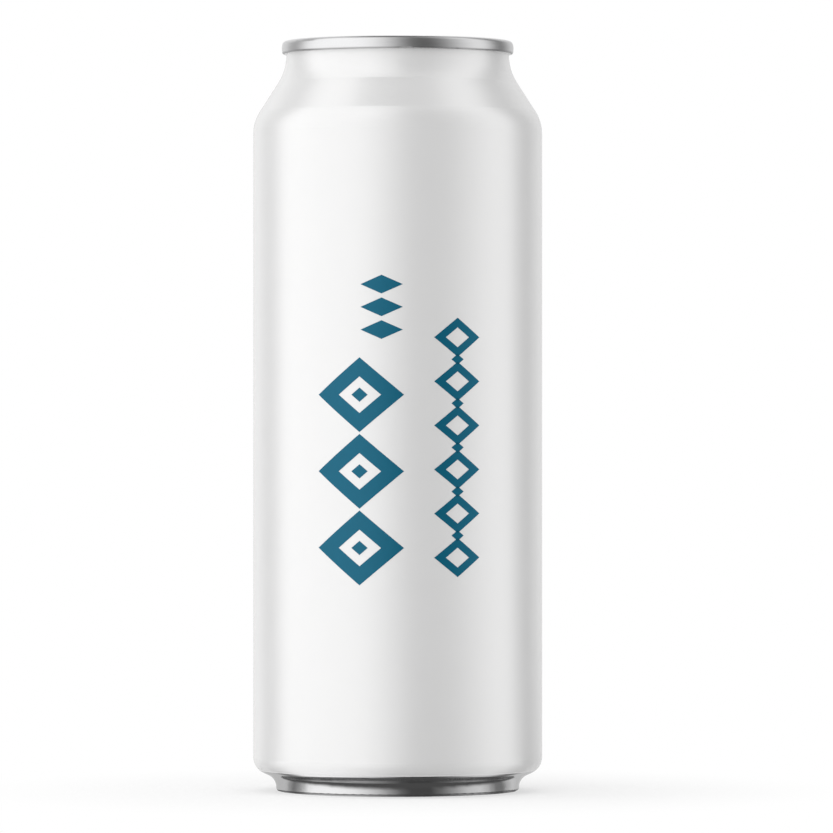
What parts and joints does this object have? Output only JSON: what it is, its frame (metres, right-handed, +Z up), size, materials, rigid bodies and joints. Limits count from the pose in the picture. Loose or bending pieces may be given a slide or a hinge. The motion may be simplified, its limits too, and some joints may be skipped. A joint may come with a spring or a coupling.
{
  "type": "aluminium drink can",
  "caption": "Shut aluminium drink can with a straight painted body, tapered neck, seamed end, stay-on tab and domed base.",
  "frame": {"origin": "on the can's axis, in the plane that the foot stands on", "axes": "+Z up along the can's axis; the pour opening is towards -Y and the heel of the tab towards +Y"},
  "size_m": [0.0662, 0.0662, 0.1716],
  "materials": {
    "can_paint": "satin white coating over aluminium, bare metal below the chime's edge",
    "end_sheet": "rolled sheet with a clear lacquer, satin",
    "tab_sheet": "rolled sheet with curled edges, satin"
  },
  "bodies": {
    "root": {"can_body": "can_paint", "can_end": "end_sheet", "pull_tab": "tab_sheet"}
  },
  "joints": []
}
